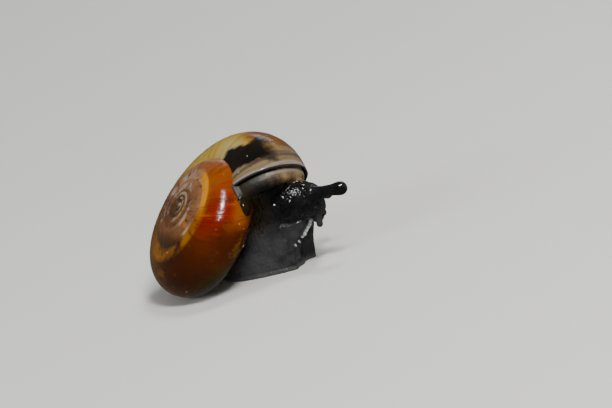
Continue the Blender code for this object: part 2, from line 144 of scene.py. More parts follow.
# Neck: centre of each section and its two half axes
NECK_STATIONS = (
    (6.55, 0.28, 0.60, 1.15, 0.0, 0.0, 0.0, 0.66, 0.0),
    (6.70, 0.28, 1.30, 1.12, 0.0, 0.10, 0.0, 0.68, 0.0),
    (6.92, 0.32, 2.00, 1.15, 0.10, 0.20, -0.05, 0.74, -0.10),
    (6.98, 0.42, 2.55, 1.18, 0.20, 0.25, -0.10, 0.78, -0.42),
    (6.95, 0.55, 2.95, 1.05, 0.20, 0.20, -0.10, 0.72, -0.42),
)
NECK_RINGS = 32

# Head: centre, half width and half height of each section
HEAD_STATIONS = (
    (6.90, 0.28, 2.10, 0.62, 0.70),
    (7.45, 0.28, 2.24, 0.70, 0.78),
    (7.95, 0.28, 2.26, 0.71, 0.76),
    (8.40, 0.28, 2.18, 0.64, 0.66),
    (8.70, 0.28, 2.05, 0.50, 0.50),
    (8.88, 0.28, 1.95, 0.26, 0.30),
)
HEAD_RINGS = 40
BODY_SIDES = 48
LOBE_CENTRE = Vector((8.38, 0.28, 1.76))
LOBE_SPREAD = 0.28
LOBE_RADII = Vector((0.24, 0.22, 0.19))
LIP_CENTRE = Vector((8.54, 0.28, 1.50))
LIP_RADII = Vector((0.22, 0.27, 0.21))
MOUTH_LINE_RADII = (0.26, 0.30, 0.035)

# Feelers: the root and tip of each, and the radii of its root, shaft and tip
EYE_STALK_RIGHT = (Vector((8.45, 0.06, 2.40)), Vector((10.17, -0.29, 2.44)))
EYE_STALK_LEFT = (Vector((8.42, 0.50, 2.36)), Vector((8.60, 1.75, 1.84)))
STALK_RADII = (0.34, 0.20, 0.245)
LOWER_TENTACLE_RIGHT = (Vector((8.76, -0.02, 1.92)), Vector((8.66, -0.10, 1.20)))
LOWER_TENTACLE_LEFT = (Vector((8.60, 0.60, 1.92)), Vector((8.52, 0.84, 1.32)))
TENTACLE_RADII = (0.20, 0.115, 0.12)
FEELER_RINGS = 60
FEELER_SIDES = 32
ROOT_NARROWS_OVER = 0.45
TIP_SWELLS_FROM = 0.62
TIP_SWELLS_OVER = 0.22
SMALLEST_RADIUS = 0.01
EYE_RADIUS = 0.165
EYE_BEHIND_TIP = 0.17
EYE_RAISED = 0.05

# Collar: turn of the spiral in degrees and how far in from the shell's surface
COLLAR_STEPS = (
    (-18.0, 0.24), (-6.0, 0.06), (1.0, 0.04), (4.0, 0.10), (6.5, 0.22), (8.0, 0.42),
)
COLLAR_SIDES = 64
COLLAR_INSET = 0.10
PORE_TURN = radians(8.0)
PORE_AROUND = radians(72)
PORE_INSET = 0.62
PORE_RADII = (0.16, 0.11, 0.11)

# Mantle's lobe: its reach round the section and along the spiral, and its thickness
MANTLE_LOBE_AROUND = (radians(-38), radians(28))
MANTLE_LOBE_START = radians(-368)
MANTLE_LOBE_EDGE = radians(-344.5)
MANTLE_LOBE_EDGE_SLOPE = 0.37
MANTLE_LOBE_RINGS = 24
MANTLE_LOBE_SIDES = 32
MANTLE_LOBE_ROUNDING = 0.5
MANTLE_LOBE_NARROWEST = 0.1
MANTLE_LOBE_HEIGHT = 0.20
MANTLE_LOBE_FULLNESS = 0.7
MANTLE_LOBE_DEPTH = 0.06

# Wet beads down the front margin of the foot: angles in degrees round its section
MARGIN_BEADS = 10
BEAD_RADIUS = 0.070
BEAD_VARIATION = 0.20
BEAD_VARIATION_PACE = 2.4
BEAD_SHRINKS_BY = 0.02
BEADS_TOP = 1.62
BEADS_DROP = 0.80
BEADS_START = -8.0
BEADS_TURN = 44.0
BEADS_TURN_POWER = 2.6
BEAD_STANDS_OUT = Vector((0.9, -0.6, 0.0))

# Tubercles: full on the body, faint on the foot and feelers, none by the lips and floor
BODY_GRAIN_FROM = 0.9
BODY_GRAIN_OVER = 0.8
FOOT_GRAIN = 0.25
FEELERS_FROM = 8.75
FEELERS_OVER = 0.3
FEELER_GRAIN_LOSS = 0.8
LIPS_REACH = 0.45
FLOOR_REACH = 0.2
TUBERCLE_EDGE = 0.62
GROOVE_HEIGHT = 0.16
GROOVE_WIDTH = 0.03
GROOVE_DEPTH = 0.022

# Smoothing passes over the fused skin, before and after its hollows are cut
FIRST_SMOOTHING = 6
LAST_SMOOTHING = 2

# Marks on the skin: how far each reaches, and over what length it fades
MANTLE_REACH = 0.30
MANTLE_FADE = 0.22
STALK_REACH = 0.28
STALK_FADE = 0.14
WET_REACH = 0.05
WET_FADE = 0.04
MANTLE_EDGE_POINTS = 200
MANTLE_EDGE_TURN = radians(1.5)
MANTLE_EDGE_INSET = 0.05
MANTLE_EDGE_AROUND = (radians(-60), radians(40))
MANTLE_EDGE_REACH = 0.03
MANTLE_EDGE_FADE = 0.05

# Floor: reach and height of its rings, in floor radii, with a wall that curves up
FLOOR_PROFILE = (
    (0.004, 0.0), (0.25, 0.0), (1.0, 0.0), (1.2, 0.03), (1.38, 0.12), (1.5, 0.28),
    (1.55, 0.5), (1.56, 1.0),
)
FLOOR_SIDES = 96
FLOOR_SHADE = 0.96

# Lamps: name, the way to it, distance, size, watts, colour and whether only gloss shows it
LAMPS = (
    ("key", (0.50, -0.40, 0.77), 0.16, (0.028, 0.046), 0.22, (1.0, 0.98, 0.94), False),
    ("top", (0.32, 0.34, 0.88), 0.20, (0.05, 0.05), 0.16, (1.0, 1.0, 1.0), False),
    ("side", (-0.9, -0.9, 0.7), 0.25, (0.10, 0.10), 0.14, (0.95, 0.97, 1.0), False),
    ("glint", (0.24, -0.42, 0.87), 0.16, (0.022, 0.022), 0.50, (1.0, 1.0, 1.0), True),
    ("rim", (-0.18, 0.90, 0.40), 0.20, (0.05, 0.03), 0.012, (1.0, 1.0, 1.0), True),
)
LAMPS_AIM = Vector((0.0, 0.0, 0.002))
WORLD_COLOUR = (0.9, 0.93, 0.95, 1.0)
WORLD_STRENGTH = 0.12


def model_to_row():
    """Where the modelling frame lies in the row, read from the shell's place."""
    low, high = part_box("shell")
    apex = (Vector(low) + Vector(high)) / 2 + APEX_FROM_SHELL_MIDDLE * METRES_PER_MM
    scale = Matrix.Scale(METRES_PER_MM, 4)
    return Matrix.Translation(apex) @ scale @ Matrix.Translation(-SHELL_APEX)


TO_ROW = model_to_row()


class Socket:
    """A value in a shader; sums written on it add Math nodes."""

    def __init__(self, shader, output):
        self.shader = shader
        self.output = output

    def maths(self, operation, *values, clamp=False):
        return self.shader.node(
            "ShaderNodeMath", dict(operation=operation, use_clamp=clamp), *values
        )

    def __add__(self, other):
        return self.maths("ADD", self, other)

    def __radd__(self, other):
        return self.maths("ADD", other, self)

    def __sub__(self, other):
        return self.maths("SUBTRACT", self, other)

    def __rsub__(self, other):
        return self.maths("SUBTRACT", other, self)

    def __mul__(self, other):
        return self.maths("MULTIPLY", self, other)

    def __rmul__(self, other):
        return self.maths("MULTIPLY", other, self)

    def clamped(self):
        return self.maths("ADD", self, 0.0, clamp=True)

    def rise(self, start, end):
        """0 up to start and 1 from end, smooth between; start may be the larger."""
        return self.shader.node(
            "ShaderNodeMapRange",
            dict(interpolation_type="SMOOTHSTEP"),
            self, start, end, 0.0, 1.0,
        )

    def bump(self, middle, half_width):
        """1 at middle, falling smoothly to 0 at half_width on either side."""
        away = self.maths("ABSOLUTE", self - middle)
        return away.rise(half_width, 0.0)


class Shader:
    """A material's node tree, with one method that adds any node."""

    def __init__(self, name, roughness, **settings):
        self.material = bpy.data.materials.new(name)
        self.material.use_nodes = True
        self.tree = self.material.node_tree
        self.surface = self.tree.nodes["Principled BSDF"]
        self.surface.inputs["Roughness"].default_value = roughness
        for socket, value in settings.items():
            self.surface.inputs[socket.replace("_", " ")].default_value = value

    def feed(self, socket, value):
        if isinstance(value, Socket):
            self.tree.links.new(value.output, socket)
        elif value is not None:
            socket.default_value = value

    def node(self, kind, settings, *values, output=0):
        made = self.tree.nodes.new(kind)
        for name, setting in settings.items():
            setattr(made, name, setting)
        enabled = [socket for socket in made.inputs if socket.enabled]
        for socket, value in zip(enabled, values):
            self.feed(socket, value)
        outputs = [socket for socket in made.outputs if socket.enabled]
        return Socket(self, outputs[output])

    def colour(self, factor, first, second):
        """Mix two colours, each a colour or a socket."""
        made = self.tree.nodes.new("ShaderNodeMix")
        made.data_type = "RGBA"
        for name, value in (("Factor_Float", factor), ("A_Color", first), ("B_Color", second)):
            socket = next(item for item in made.inputs if item.identifier == name)
            if isinstance(value, (tuple, list)):
                value = (*value[:3], 1.0)
            self.feed(socket, value)
        result = next(item for item in made.outputs if item.identifier == "Result_Color")
        return Socket(self, result)

    def layered(self, ground, *layers):
        """Lay tints over a ground in turn, each by its own share."""
        for share, tint in layers:
            ground = self.colour(share, ground, tint)
        return ground

    def place(self):
        return self.node("ShaderNodeTexCoord", {}, output=3)

    def axes(self, vector):
        return [self.node("ShaderNodeSeparateXYZ", {}, vector, output=axis) for axis in range(3)]

    def vector(self, x, y, z):
        return self.node("ShaderNodeCombineXYZ", {}, x, y, z)

    def noise(self, vector, scale, detail=3.0, roughness=0.55):
        return self.node(
            "ShaderNodeTexNoise", dict(noise_dimensions="3D"), vector, scale, detail, roughness
        )

    def cells(self, vector, scale, feature="F1"):
        return self.node("ShaderNodeTexVoronoi", dict(feature=feature), vector, scale)

    def marked(self, name):
        """The share of a mark that each point of the mesh carries."""
        return self.node("ShaderNodeAttribute", dict(attribute_name=name), output=2)

    def bump(self, height, strength, distance, normal=None):
        made = self.tree.nodes.new("ShaderNodeBump")
        made.inputs["Strength"].default_value = strength
        made.inputs["Distance"].default_value = distance
        self.feed(made.inputs["Height"], height)
        if normal:
            self.feed(made.inputs["Normal"], normal)
        return Socket(self, made.outputs["Normal"])

    def finish(self, **sockets):
        for name, value in sockets.items():
            self.feed(self.surface.inputs[name.replace("_", " ")], value)
        return self.material


class SnailStageSettings(bpy.types.PropertyGroup):
    camera_distance: FloatProperty(
        name="Camera distance", description="From the snail to the camera",
        default=0.24, unit="LENGTH",
    )
    floor_radius: FloatProperty(
        name="Floor radius", description="Reach of the level floor",
        default=0.16, unit="LENGTH",
    )
    floor_colour: FloatVectorProperty(
        name="Floor colour", description="Colour of the floor and the wall round it",
        default=(0.82, 0.82, 0.80), size=3, subtype="COLOR",
    )


class SnailShellSettings(bpy.types.PropertyGroup):
    whorls: FloatProperty(
        name="Whorls", description="Turns of the spiral, tip to mouth", default=4.2,
    )
    rings_per_whorl: IntProperty(
        name="Rings per whorl", description="Growth rings in each turn", default=110,
    )
    ring_sides: IntProperty(
        name="Ring sides", description="Points round the shell's tube", default=60,
    )
    lip_thickness: FloatProperty(
        name="Lip thickness", description="Wall of the shell at its mouth, in mm",
        default=0.06,
    )
    stria_depth: FloatProperty(
        name="Stria depth", description="Depth of the growth lines, in mm", default=0.006,
    )


class SnailSkinSettings(bpy.types.PropertyGroup):
    voxel: FloatProperty(
        name="Voxel", description="Grain of the fused skin, in mm", default=0.032,
    )
    tubercle_height: FloatProperty(
        name="Tubercle height", description="Height of the skin's tubercles, in mm",
        default=0.008,
    )
    tubercle_spacing: FloatProperty(
        name="Tubercle spacing", description="From one tubercle to the next, in mm",
        default=0.20,
    )


def deselect_all():
    for shown in list(bpy.context.selected_objects):
        shown.select_set(False)


def add_object(name, mesh):
    made = bpy.data.objects.new(name, mesh)
    bpy.context.scene.collection.objects.link(made)
    return made


def apply_modifier(made, kind, **settings):
    """Add one modifier with its settings and apply it."""
    deselect_all()
    made.select_set(True)
    bpy.context.view_layer.objects.active = made
    modifier = made.modifiers.new(kind.title(), kind)
    for name, value in settings.items():
        setattr(modifier, name, value)
    bpy.ops.object.modifier_apply(modifier=modifier.name)


def object_from_rings(name, rings, growth=None):
    """Skin a closed tube through rings of points; growth gives each ring its u."""
    model = bmesh.new()
    uv_layer = model.loops.layers.uv.new("growth") if growth else None
    rows = [[model.verts.new(point) for point in ring] for ring in rings]
    sides = len(rows[0])
    for index, (near_row, far_row) in enumerate(zip(rows, rows[1:])):
        for side in range(sides):
            after = (side + 1) % sides
            face = model.faces.new(
                (near_row[side], near_row[after], far_row[after], far_row[side])
            )
            if growth:
                u0, u1 = growth[index], growth[index + 1]
                v0, v1 = side / sides, (side + 1) / sides
                for loop, uv in zip(face.loops, ((u0, v0), (u0, v1), (u1, v1), (u1, v0))):
                    loop[uv_layer].uv = uv
    for row, index in ((rows[0], 0), (rows[-1], -1)):
        centre = model.verts.new(sum((vertex.co for vertex in row), Vector()) / sides)
        for side in range(sides):
            face = model.faces.new((centre, row[side], row[(side + 1) % sides]))
            if growth:
                for loop in face.loops:
                    loop[uv_layer].uv = (growth[index], (side + 0.5) / sides)
    bmesh.ops.recalc_face_normals(model, faces=model.faces)
    if model.calc_volume(signed=True) < 0.0:
        bmesh.ops.reverse_faces(model, faces=model.faces)
    mesh = bpy.data.meshes.new(name)
    model.to_mesh(mesh)
    model.free()
    return add_object(name, mesh)


def ball(name, centre, radii, segments=32):
    """A sphere stretched along its own axes, in millimetres."""
    deselect_all()
    bpy.ops.mesh.primitive_uv_sphere_add(segments=segments, ring_count=segments // 2, radius=1.0)
    made = bpy.context.object
    made.name = name
    made.data.transform(Matrix.Translation(centre) @ Matrix.Diagonal((*radii, 1.0)))
    return made


def place_on_frame(made):
    """Scale a finished piece to metres, set it on the frame and let it ride."""
    made.data.transform(TO_ROW)
    made.data.materials.clear()
    made.data.shade_smooth()
    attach(made, "root")


def level_below_floor(made):
    """Press whatever dips below the floor up to it, so the piece rests on a flat."""
    for vertex in made.data.vertices:
        vertex.co.z = max(vertex.co.z, 0.0)


def angles_round(sides):
    return [2 * pi * side / sides for side in range(sides)]


def smooth_step(share):
    """0 up to a share of 0 and 1 from a share of 1, smooth between."""
    share = min(max(share, 0.0), 1.0)
    return share * share * (3.0 - 2.0 * share)


def blend_stations(stations, share):
    """Value at a share of the way through a list of stations, on a smooth curve."""
    place = share * (len(stations) - 1)
    index = min(int(place), len(stations) - 2)
    local = place - index
    before = stations[max(index - 1, 0)]
    start = stations[index]
    end = stations[index + 1]
    after = stations[min(index + 2, len(stations) - 1)]
    blended = []
    for v0, v1, v2, v3 in zip(before, start, end, after):
        slope_in = (v2 - v0) * 0.5
        slope_out = (v3 - v1) * 0.5
        rise = v2 - v1
        blended.append(
            v1 + slope_in * local
            + (3.0 * rise - 2.0 * slope_in - slope_out) * local ** 2
            + (slope_in + slope_out - 2.0 * rise) * local ** 3
        )
    return blended


def lip_slant(around):
    """How far the growth line at this angle of the tube lags behind its top."""
    radius = TUBE_CENTRE_RADIUS + TUBE_HALF_WIDTH * cos(around)
    drop = -TUBE_CENTRE_DROP + TUBE_HALF_HEIGHT * sin(around)
    lag = (LIP_SLANT_OUTWARD * (radius - SUTURE_RADIUS) - LIP_SLANT_DOWNWARD * drop) / radius
    return max(-lag, -LIP_SLANT_LIMIT)


def shell_placement():
    axis = SHELL_AXIS.normalized()
    side = axis.cross(SHELL_INSERTION_WAY).normalized()
    forward = side.cross(axis)
    turn = Matrix((forward, side, axis)).transposed().to_4x4()
    return Matrix.Translation(SHELL_APEX) @ turn


def shell_point(turn, slant, inset, around):
    """A point on the shell's tube, at a turn of the spiral and an angle of its section."""
    angle = turn + slant * lip_slant(around)
    scale = GROWTH_PER_WHORL ** (angle / (2 * pi))
    radius = scale * (TUBE_CENTRE_RADIUS + (TUBE_HALF_WIDTH - inset) * cos(around))
    height = (
        -SUTURE_DROP * scale ** SUTURE_DROP_POWER
        + scale * (-TUBE_CENTRE_DROP + (TUBE_HALF_HEIGHT - inset) * sin(around))
    )
    return Vector((radius * cos(angle), -radius * sin(angle), height))


def shell_ring(turn, slant, inset, sides):
    return [shell_point(turn, slant, inset, around) for around in angles_round(sides)]


def build_shell(settings):
    """The spiral with growth lines, fused with itself so that only its outside is left."""
    step_turn = 2 * pi / settings.rings_per_whorl
    rings = []
    growth = []
    for step in range(ceil(settings.whorls * settings.rings_per_whorl), -1, -1):
        turn = -step * step_turn
        slant = smooth_step((settings.whorls + turn / (2 * pi)) / SLANT_GROWS_OVER)
        line = sum(
            share * noise.noise(Vector((step * pace, offset, 0.0)))
            for pace, offset, share in GROWTH_LINE_NOISES
        )
        rings.append(shell_ring(turn, slant, settings.stria_depth * line, settings.ring_sides))
        growth.append(turn / (2 * pi))
    for share, wall in LIP_STEPS:
        inset = wall * settings.lip_thickness
        rings.append(shell_ring(-share * RECESS_TURN, 1.0, inset, settings.ring_sides))
        growth.append(-share * LIP_GROWTH)
    shell = object_from_rings("shell_fine", rings, growth)
    cap = ball("tip", Vector((0.0, 0.0, -TIP_DROP)), (TIP_RADIUS, TIP_RADIUS, TIP_RADIUS))
    cap.data.uv_layers[0].name = "growth"
    for corner in cap.data.uv_layers[0].data:
        corner.uv = (-settings.whorls, TIP_SECTION)
    apply_modifier(shell, "BOOLEAN", operation="UNION", solver="EXACT", use_self=True, object=cap)
    bpy.data.objects.remove(cap)
    shell.data.transform(shell_placement())
    level_below_floor(shell)
    return shell


def shell_material():
    """Glossy horn that shows the dark body inside; turns count back from the mouth."""
    shader = Shader("shell_gloss", 0.16, Coat_Weight=0.14, Coat_Roughness=0.05, IOR=1.40,
                    Specular_IOR_Level=0.28)
    u, v, _ = shader.axes(shader.node("ShaderNodeUVMap", dict(uv_map="growth")))
    angle = v * (2 * pi)
    top = angle.maths("SINE", angle)
    out = angle.maths("COSINE", angle)
    place = shader.place()
    _, _, z = shader.axes(place)
    cloud = shader.noise(place, 1100.0, 4.0, 0.6)
    patches = shader.noise(place, 420.0, 3.0, 0.6)
    grit = shader.noise(place, 5200.0, 3.0, 0.6)
    specks = shader.cells(place, 2600.0)
    streaks = shader.noise(shader.vector(u * 70.0, v * 3.0, 0.0), 1.0, 4.0, 0.7)
    fine_lines = shader.noise(shader.vector(u * 300.0, v * 5.0, 3.0), 1.0, 2.0, 0.5)
    sharp_turn = u * 360.0
    turn = sharp_turn + (patches - 0.5) * 30.0

    amber = (0.27, 0.068, 0.001)
    ember = (0.27, 0.035, 0.0005)
    orange = (0.66, 0.26, 0.010)
    crimson = (0.18, 0.003, 0.0002)
    umber = (0.065, 0.012, 0.0003)
    dark_red = (0.034, 0.008, 0.0004)
    dark_olive = (0.030, 0.020, 0.0005)
    wine = (0.050, 0.009, 0.0004)
    bronze_glint = (0.15, 0.070, 0.002)
    golden = (0.30, 0.115, 0.002)
    olive = (0.15, 0.060, 0.001)
    pale_olive = (0.42, 0.28, 0.040)
    cream = (0.44, 0.34, 0.14)
    russet = (0.16, 0.060, 0.004)
    scarlet = (0.42, 0.04, 0.001)
    sand = (0.21, 0.150, 0.085)
    body_black = (0.004, 0.004, 0.0025)
    smoke = (0.040, 0.036, 0.034)
    bone = (0.27, 0.23, 0.19)
    slate = (0.030, 0.028, 0.030)
    worn = (0.17, 0.080, 0.032)
    worn_dark = (0.075, 0.032, 0.010)
    high_spire_rose = (0.40, 0.19, 0.095)
    worn_gold = (0.36, 0.12, 0.006)
    spire_shade_colour = (0.040, 0.022, 0.004)
    worn_tip = (0.050, 0.024, 0.003)
    worn_grit = (0.045, 0.020, 0.008)
    chalk = (0.36, 0.27, 0.19)
    maroon = (0.05, 0.006, 0.0005)
    tawny = (0.52, 0.15, 0.004)
    ivory = (0.75, 0.66, 0.50)

    by_suture = top.rise(0.965, 0.992) * turn.rise(-420.0, -385.0) * turn.rise(-315.0, -345.0)
    red = turn.bump(-322.0, 62.0) * top.rise(-0.05, 0.40) * top.rise(0.995, 0.90)
    # Umber over the last turns before the mouth, with painted shade on the tube's underside
    dark = turn.rise(-322.0, -288.0) + top.rise(-0.15, -0.9) * 0.8
    shade = shader.colour(top.rise(-0.35, 0.15), dark_olive, dark_red)
    lower = turn.rise(-325.0, -298.0) * turn.rise(-212.0, -240.0) * top.rise(0.95, 0.84)
    golden_band = top.rise(0.92, 0.985) * turn.rise(-345.0, -320.0) * turn.rise(-170.0, -230.0)
    ruddy = turn.rise(-62.0, -46.0) * turn.rise(-14.0, -30.0) * top.rise(0.90, 0.60)
    ruddy_spots = ruddy * cloud.rise(0.50, 0.66) * out.rise(0.4, 0.7)

    # The dark body behind the mouth: where its patch starts, ends and thins out below
    edge_turn = sharp_turn + (cloud - 0.5) * 30.0
    start = (edge_turn + top.rise(0.80, 1.0) * 12.0).rise(-38.0, -31.0)
    finish = (edge_turn - (1.0 - top).clamped() * 26.0).rise(-12.0, -18.0)
    height = (top + (cloud - 0.5) * 0.6).rise(0.30, 0.62)
    lip_pale = sharp_turn.rise(-5.0, -3.5) * (0.35 + cloud).clamped()

    # The old, worn whorls of the spire, with painted shade on their lower side
    old = turn.rise(-375.0, -440.0)
    # Rosier patches on the highest parts of the spire
    old_high = old * z.rise(0.0031, 0.0039) * patches.rise(0.42, 0.58)
    old_gold = old * cloud.rise(0.55, 0.64) * patches.rise(0.56, 0.46)
    # Painted shade on the lower side of the spire
    low_spire_shade = old * (z + (cloud - 0.5) * 0.0010).rise(0.0027, 0.0020)
    old_edges = old * (top.rise(0.980, 0.990) + out.rise(0.59, 0.64)).clamped()
    light_streaks = streaks.rise(0.46, 0.28) * turn.rise(-400.0, -380.0) * turn.rise(-290.0, -330.0)
    droplets = specks.rise(0.085, 0.06) * patches.rise(0.40, 0.55) * (1.0 - old)

    colour = shader.layered(
        amber,
        (patches.rise(0.40, 0.62), ember),
        (by_suture, orange),
        (red * 0.95, crimson),
        # Umber: painted shade on the tube's underside, and darker over the last turns
        (dark.clamped() * (0.70 + 0.5 * cloud), umber),
        (turn.rise(-292.0, -262.0), shade),
        (turn.rise(-248.0, -205.0) * 0.9, olive),
        (lower * patches.rise(0.42, 0.58) * 0.75, wine),
        # Olive-gold flecks low on the body whorl, painted as glints
        (lower * cloud.rise(0.55, 0.66) * 0.7, bronze_glint),
        (golden_band * cloud.rise(0.30, 0.60), golden),
        (turn.rise(-150.0, -75.0) * top.rise(0.1, 0.8), pale_olive),
        (turn.rise(-72.0, -52.0) * top.rise(0.75, 0.97) * 0.8, cream),
        (ruddy, russet),
        (ruddy_spots, scarlet),
        (sharp_turn.rise(-21.0, -14.0) * 0.85, sand),
        (start * finish * height, body_black),
        (sharp_turn.bump(-9.5, 3.0) * 0.75, smoke),
        (lip_pale, bone),
        (sharp_turn.rise(-1.6, -0.8), slate),
        (old * (0.60 + 0.5 * cloud).clamped(), worn),
        (old * patches.rise(0.48, 0.62) * 0.8, worn_dark),
        (old_high * 0.70, high_spire_rose),
        (old_gold * 0.7, worn_gold),
        # Painted shade low on the spire
        (low_spire_shade * 0.75, spire_shade_colour),
        (turn.rise(-880.0, -1150.0) * 0.7, worn_tip),
        (old_edges * cloud.rise(0.45, 0.60) * 0.8, chalk),
        (streaks.rise(0.50, 0.72) * 0.7, maroon),
        (light_streaks * 0.40, tawny),
        (droplets * 0.5, ivory),
        (old * grit.rise(0.54, 0.66) * 0.75, worn_grit),
    )
    lines = shader.bump(fine_lines, 0.55, 0.00003)
    normal = shader.bump(cloud, 0.30, 0.00004, lines)
    roughness = 0.13 + 0.30 * old + 0.10 * cloud
    return shader.finish(Base_Color=colour, Normal=normal, Roughness=roughness)


def foot_piece():
    rings = []
    for step in range(FOOT_RINGS + 1):
        share = step / FOOT_RINGS
        ahead = min(share + FOOT_SLOPE_STEP, 1.0)
        behind = max(share - FOOT_SLOPE_STEP, 0.0)
        x, y, half_width, height = blend_stations(FOOT_STATIONS, share)
        x_next, y_next, _, _ = blend_stations(FOOT_STATIONS, ahead)
        x_last, y_last, _, _ = blend_stations(FOOT_STATIONS, behind)
        along = Vector((x_next - x_last, y_next - y_last, 0.0)).normalized()
        across = Vector((-along.y, along.x, 0.0))
        ring = []
        for around in angles_round(FOOT_SIDES):
            out = half_width * cos(around)
            if sin(around) > 0:
                up = height * sin(around) ** FOOT_ROUNDING
            else:
                up = SOLE_DEPTH * sin(around)
            fringe = exp(-((up - FRINGE_HEIGHT) / FRINGE_HEIGHT) ** 2)
            out += FRINGE_WIDTH * cos(around) * fringe
            ring.append(Vector((x, y, 0.0)) + across * out + Vector((0.0, 0.0, up)))
        rings.append(ring)
    return object_from_rings("foot_piece", rings)


def foot_front_place(share, around):
    """A point on the raised front of the foot, at a share of its height."""
    height, front, rear, half_width, far_skew = blend_stations(FOOT_FRONT_STATIONS, share)
    middle = 0.5 * (front + rear)
    half_length = 0.5 * (front - rear)
    forward = copysign(abs(cos(around)) ** FOOT_FRONT_SQUARENESS, cos(around))
    left = copysign(abs(sin(around)) ** FOOT_FRONT_SQUARENESS, sin(around))
    skew = (far_skew if left > 0.0 else NEAR_SKEW) * left * max(forward, 0.0)
    return Vector((
        middle + half_length * forward + skew,
        FOOT_MIDDLE_Y + half_width * left,
        height,
    ))


def foot_front_piece():
    rings = [
        [foot_front_place(step / FOOT_FRONT_RINGS, around) for around in angles_round(BODY_SIDES)]
        for step in range(FOOT_FRONT_RINGS + 1)
    ]
    return object_from_rings("foot_front_piece", rings)


def neck_piece():
    rings = []
    for step in range(NECK_RINGS + 1):
        values = blend_stations(NECK_STATIONS, step / NECK_RINGS)
        centre, first, second = Vector(values[0:3]), Vector(values[3:6]), Vector(values[6:9])
        rings.append([
            centre + first * cos(around) + second * sin(around)
            for around in angles_round(BODY_SIDES)
        ])
    return object_from_rings("neck_piece", rings)


def head_piece():
    rings = []
    for step in range(HEAD_RINGS + 1):
        x, y, z, half_width, half_height = blend_stations(HEAD_STATIONS, step / HEAD_RINGS)
        rings.append([
            Vector((x, y + half_width * cos(around), z + half_height * sin(around)))
            for around in angles_round(BODY_SIDES)
        ])
    return object_from_rings("head_piece", rings)


def feeler_radius(share, length, radii):
    """Radius of a feeler at a share of its length, with a round end to its tip."""
    root_radius, shaft_radius, tip_radius = radii
    from_tip = (1.0 - share) * length
    if from_tip < tip_radius:
        return max((tip_radius ** 2 - (tip_radius - from_tip) ** 2) ** 0.5, SMALLEST_RADIUS)
    wide = 1.0 - smooth_step(share / ROOT_NARROWS_OVER)
    swell = smooth_step((share - TIP_SWELLS_FROM) / TIP_SWELLS_OVER)
    radius = shaft_radius + (root_radius - shaft_radius) * wide
    return radius + (tip_radius - shaft_radius) * swell


def feeler_piece(name, ends, radii):
    """A round feeler: wide root, even shaft and a rounded tip of its own radius."""
    root, tip = ends
    along = (tip - root).normalized()
    length = (tip - root).length
    across = along.orthogonal().normalized()
    other = along.cross(across)
    rings = []
    for step in range(FEELER_RINGS + 1):
        share = step / FEELER_RINGS
        radius = feeler_radius(share, length, radii)
        centre = root + along * (share * length)
        rings.append([
            centre + (across * cos(around) + other * sin(around)) * radius
            for around in angles_round(FEELER_SIDES)
        ])
    return object_from_rings(name, rings)


def collar_piece():
    rings = [
        shell_ring(radians(turn), 1.0, COLLAR_INSET + inset, COLLAR_SIDES)
        for turn, inset in COLLAR_STEPS
    ]
    collar = object_from_rings("collar_piece", rings)
    collar.data.transform(shell_placement())
    return collar


def mantle_lobe_piece():
    """Thin lobe of the mantle that laps over the last whorl beside the mouth."""
    first, last = MANTLE_LOBE_AROUND
    rings = []
    for step in range(MANTLE_LOBE_RINGS + 1):
        share = step / MANTLE_LOBE_RINGS
        around = first * (1.0 - share) + last * share
        edge = MANTLE_LOBE_EDGE - MANTLE_LOBE_EDGE_SLOPE * around
        middle = 0.5 * (MANTLE_LOBE_START + edge)
        bulge = sin(pi * share) if 0 < step < MANTLE_LOBE_RINGS else 0.0
        width = max(bulge ** MANTLE_LOBE_ROUNDING, MANTLE_LOBE_NARROWEST)
        half = 0.5 * (edge - MANTLE_LOBE_START) * width
        height = MANTLE_LOBE_HEIGHT * bulge ** MANTLE_LOBE_FULLNESS
        ring = []
        for way in angles_round(MANTLE_LOBE_SIDES):
            lift = height if sin(way) > 0.0 else MANTLE_LOBE_DEPTH
            turn = middle + half * cos(way)
            ring.append(shell_point(turn, 0.0, -lift * sin(way), around))
        rings.append(ring)
    lobe = object_from_rings("mantle_lobe", rings)
    lobe.data.transform(shell_placement())
    return lobe


def bead_places():
    """Along the front margin of the foot, from the mouth down its near side."""
    places = []
    for number in range(MARGIN_BEADS):
        share = number / (MARGIN_BEADS - 1)
        height = BEADS_TOP - BEADS_DROP * share
        around = radians(BEADS_START - BEADS_TURN * share ** BEADS_TURN_POWER)
        centre = foot_front_place((height - FOOT_FRONT_BOTTOM) / FOOT_FRONT_HEIGHT, around)
        centre.z = height
        places.append(centre + BEAD_STANDS_OUT * BEAD_RADIUS)
    return places


def margin_beads():
    """Wet beads on the front margin of the foot, a little unlike in size."""
    beads = []
    for number, place in enumerate(bead_places()):
        unlike = 1.0 + BEAD_VARIATION * sin(number * BEAD_VARIATION_PACE)
        radius = BEAD_RADIUS * unlike * (1.0 - BEAD_SHRINKS_BY * number)
        beads.append(ball("bead", place, (radius, radius, radius), segments=16))
    return beads


def join_pieces(name, pieces):
    model = bmesh.new()
    for piece in pieces:
        model.from_mesh(piece.data)
        bpy.data.objects.remove(piece)
    mesh = bpy.data.meshes.new(name)
    model.to_mesh(mesh)
    model.free()
    return add_object(name, mesh)


